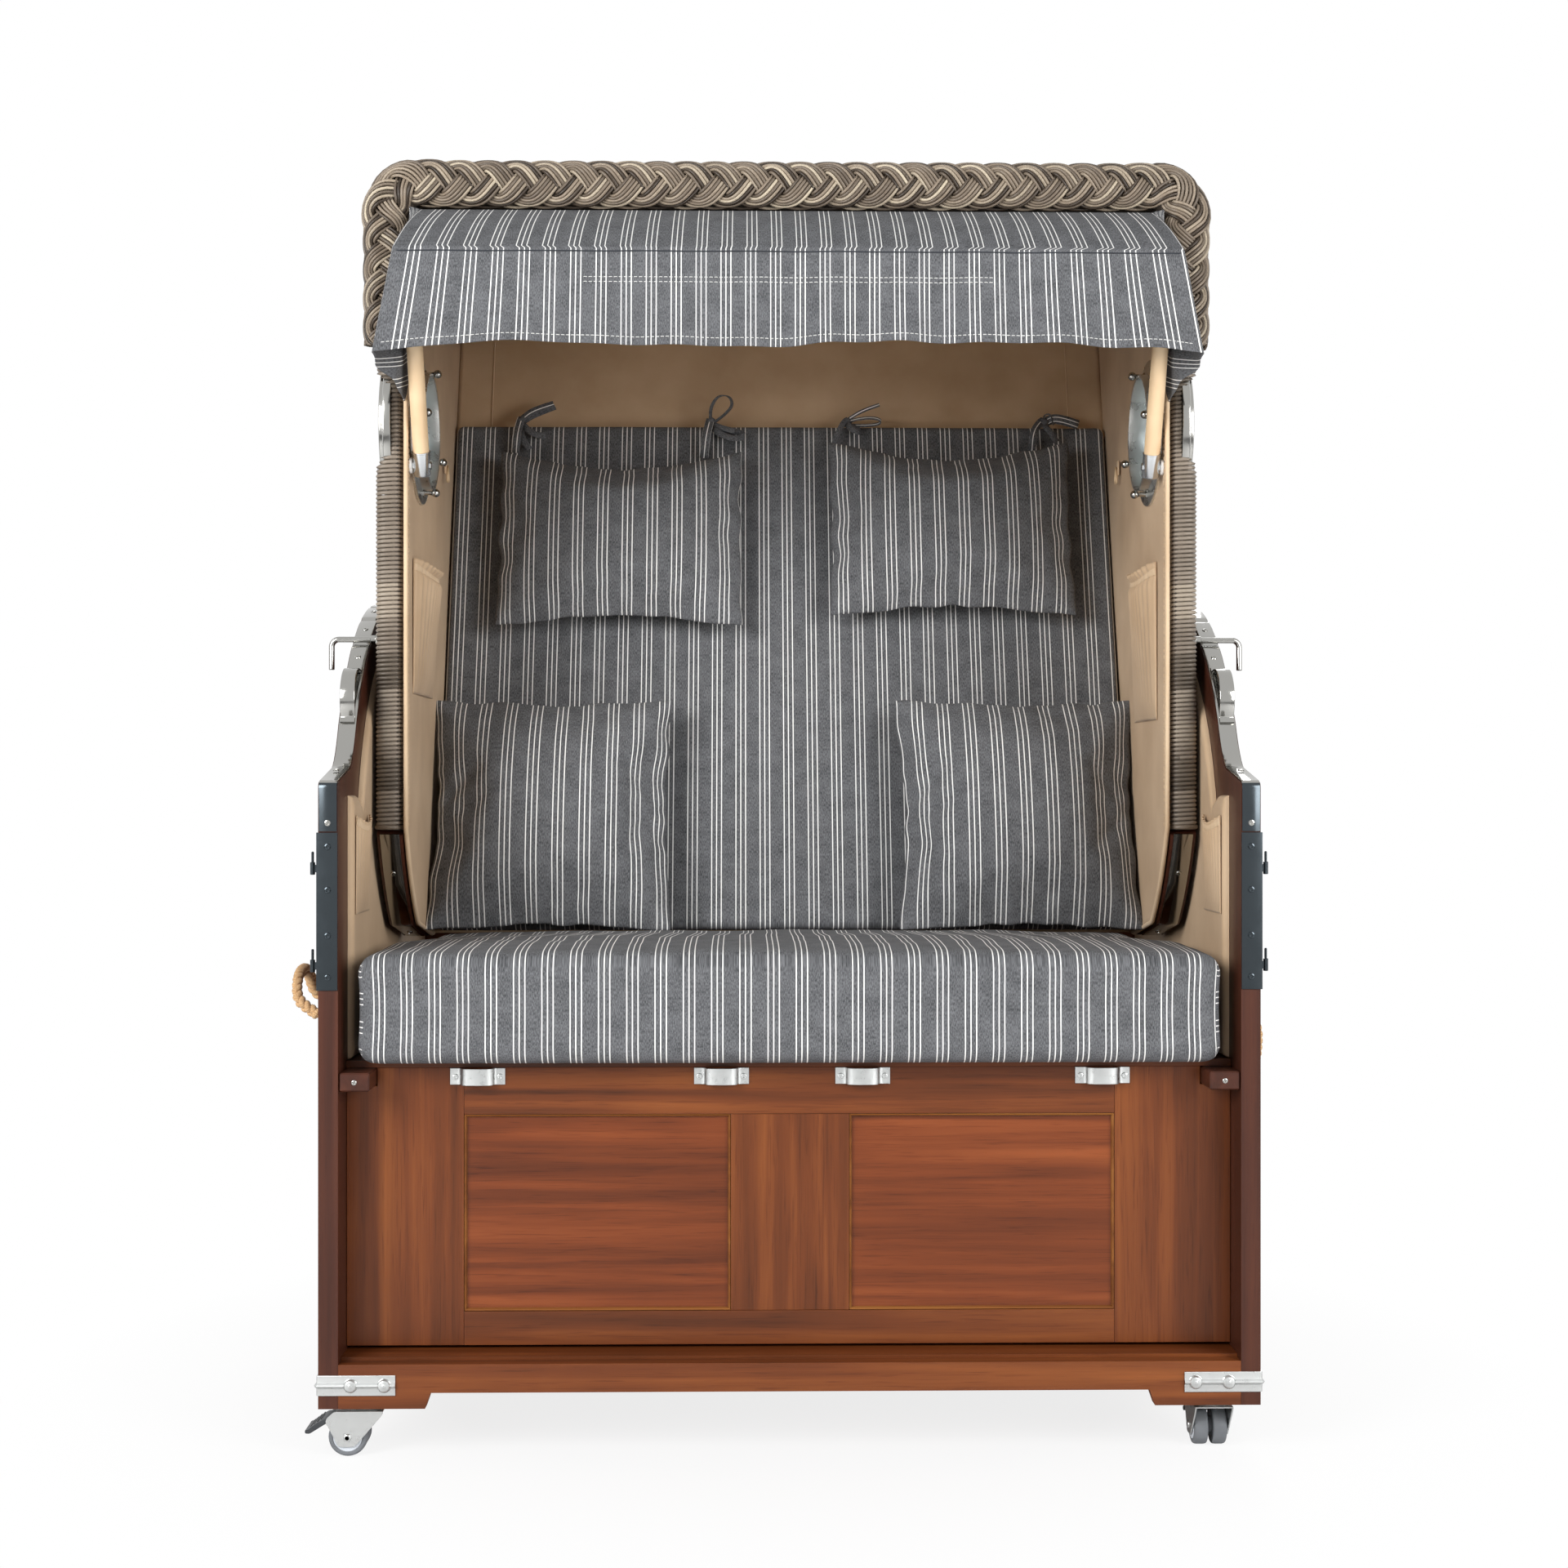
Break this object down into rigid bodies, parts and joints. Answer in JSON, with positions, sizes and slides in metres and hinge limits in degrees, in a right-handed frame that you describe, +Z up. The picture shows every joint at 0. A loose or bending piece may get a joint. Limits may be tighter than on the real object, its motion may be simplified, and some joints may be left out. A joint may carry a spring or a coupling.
{
  "type": "hooded beach chair",
  "caption": "Wicker-hooded beach chair: a wooden base on castors, a hood that reclines on side hinges and locks on notched bands, an awning on a bow, cushions and pillows.",
  "frame": {"origin": "on the floor under the middle of the chair's bounding box, rope handles left out", "axes": "+Z up, +Y from the open front to the back, +X to the right of someone who looks at the front"},
  "size_m": [1.2934, 0.8996, 1.7079],
  "materials": {
    "mahogany": "satin",
    "dark_wood": "satin",
    "chrome": "polished",
    "polished_aluminium": "polished",
    "steel": "satin",
    "wicker": "satin",
    "beige_cloth": "matte",
    "striped_cloth": "matte",
    "beige_tube": "satin",
    "hemp": "matte",
    "grey_rubber": "matte",
    "dark_plastic": "matte",
    "clear_glass": "gloss"
  },
  "bodies": {
    "base": {"side_panel_left": "dark_wood", "side_panel_right": "dark_wood", "side_lining_left": "beige_cloth", "side_lining_right": "beige_cloth", "seat_batten_left": "dark_wood", "seat_batten_right": "dark_wood", "notch_band_left": "chrome", "notch_band_right": "chrome", "edge_plate_left": "chrome", "edge_plate_right": "chrome", "grab_loop_left": "chrome", "grab_loop_right": "chrome", "corner_strap_left": "chrome", "corner_strap_right": "chrome", "hinge_bolt_left": "steel", "hinge_bolt_right": "steel", "rope_handle_left": "hemp", "rope_handle_right": "hemp", "front_panel": "mahogany", "front_plinth": "mahogany", "back_panel": "mahogany", "floor_board": "mahogany", "seat_board": "mahogany", "footrest_socket_1": "steel", "footrest_socket_2": "steel", "footrest_socket_3": "steel", "footrest_socket_4": "steel", "seat_cushion": "striped_cloth"},
    "hood": {"hood_basket": "wicker", "hood_lining": "beige_cloth", "hood_post_left": "wicker", "hood_post_right": "wicker", "hood_rail_left": "dark_wood", "hood_rail_right": "dark_wood", "braid_rim": "wicker", "porthole_ring_left": "polished_aluminium", "porthole_ring_right": "polished_aluminium", "porthole_glass_left": "clear_glass", "porthole_glass_right": "clear_glass", "awning_cloth": "striped_cloth", "back_cushion": "striped_cloth", "head_pillow_left": "striped_cloth", "head_pillow_right": "striped_cloth", "throw_pillow_left": "striped_cloth", "throw_pillow_right": "striped_cloth"},
    "bow": {"awning_bow": "beige_tube", "bow_cap_left": "polished_aluminium", "bow_cap_right": "polished_aluminium"},
    "lock_left": {"lock_handle_left": "chrome"},
    "lock_right": {"lock_handle_right": "chrome"},
    "castor_front_left": {"castor_front_left_fork": "steel"},
    "wheels_front_left": {"castor_front_left_wheels": "grey_rubber"},
    "brake_front_left": {"castor_front_left_brake_pedal": "dark_plastic"},
    "castor_front_right": {"castor_front_right_fork": "steel"},
    "wheels_front_right": {"castor_front_right_wheels": "grey_rubber"},
    "brake_front_right": {"castor_front_right_brake_pedal": "dark_plastic"},
    "castor_back_left": {"castor_back_left_fork": "steel"},
    "wheels_back_left": {"castor_back_left_wheels": "grey_rubber"},
    "castor_back_right": {"castor_back_right_fork": "steel"},
    "wheels_back_right": {"castor_back_right_wheels": "grey_rubber"}
  },
  "joints": [
    {"name": "hood_recline", "type": "hinge", "parent": "base", "child": "hood", "pos_m": [0, 0.04732, 0.713], "axis": [-1, 0, 0], "range_deg": [0, 44]},
    {"name": "awning_swing", "type": "hinge", "parent": "hood", "child": "bow", "pos_m": [0, -0.20767, 1.296], "axis": [1, 0, 0], "range_deg": [0, 35], "deforming": ["awning_cloth"]},
    {"name": "lock_lift_left", "type": "slide", "parent": "hood", "child": "lock_left", "axis": [0, -0.549, 0.8358], "range_m": [0, 0.009], "stiffness_N_per_m": 400, "springref_m": -0.004},
    {"name": "lock_lift_right", "type": "slide", "parent": "hood", "child": "lock_right", "axis": [0, -0.549, 0.8358], "range_m": [0, 0.009], "stiffness_N_per_m": 400, "springref_m": -0.004},
    {"name": "swivel_front_left", "type": "hinge", "parent": "base", "child": "castor_front_left", "pos_m": [-0.545, -0.39768, 0.067], "axis": [0, 0, 1], "continuous": true},
    {"name": "roll_front_left", "type": "hinge", "parent": "castor_front_left", "child": "wheels_front_left", "pos_m": [-0.5665, -0.39768, 0.025], "axis": [0, -1, 0], "continuous": true},
    {"name": "brake_front_left", "type": "hinge", "parent": "castor_front_left", "child": "brake_front_left", "pos_m": [-0.591, -0.39768, 0.0455], "axis": [0, -1, 0], "range_deg": [0, 16]},
    {"name": "swivel_front_right", "type": "hinge", "parent": "base", "child": "castor_front_right", "pos_m": [0.545, -0.39768, 0.067], "axis": [0, 0, 1], "continuous": true},
    {"name": "roll_front_right", "type": "hinge", "parent": "castor_front_right", "child": "wheels_front_right", "pos_m": [0.545, -0.37617, 0.025], "axis": [-1, 0, 0], "continuous": true},
    {"name": "brake_front_right", "type": "hinge", "parent": "castor_front_right", "child": "brake_front_right", "pos_m": [0.545, -0.35168, 0.0455], "axis": [-1, 0, 0], "range_deg": [0, 16]},
    {"name": "swivel_back_left", "type": "hinge", "parent": "base", "child": "castor_back_left", "pos_m": [-0.545, 0.30933, 0.067], "axis": [0, 0, 1], "continuous": true},
    {"name": "roll_back_left", "type": "hinge", "parent": "castor_back_left", "child": "wheels_back_left", "pos_m": [-0.55235, 0.32953, 0.025], "axis": [-0.9397, -0.342, 0], "continuous": true},
    {"name": "swivel_back_right", "type": "hinge", "parent": "base", "child": "castor_back_right", "pos_m": [0.545, 0.30933, 0.067], "axis": [0, 0, 1], "continuous": true},
    {"name": "roll_back_right", "type": "hinge", "parent": "castor_back_right", "child": "wheels_back_right", "pos_m": [0.55235, 0.32953, 0.025], "axis": [-0.9397, 0.342, 0], "continuous": true}
  ]
}
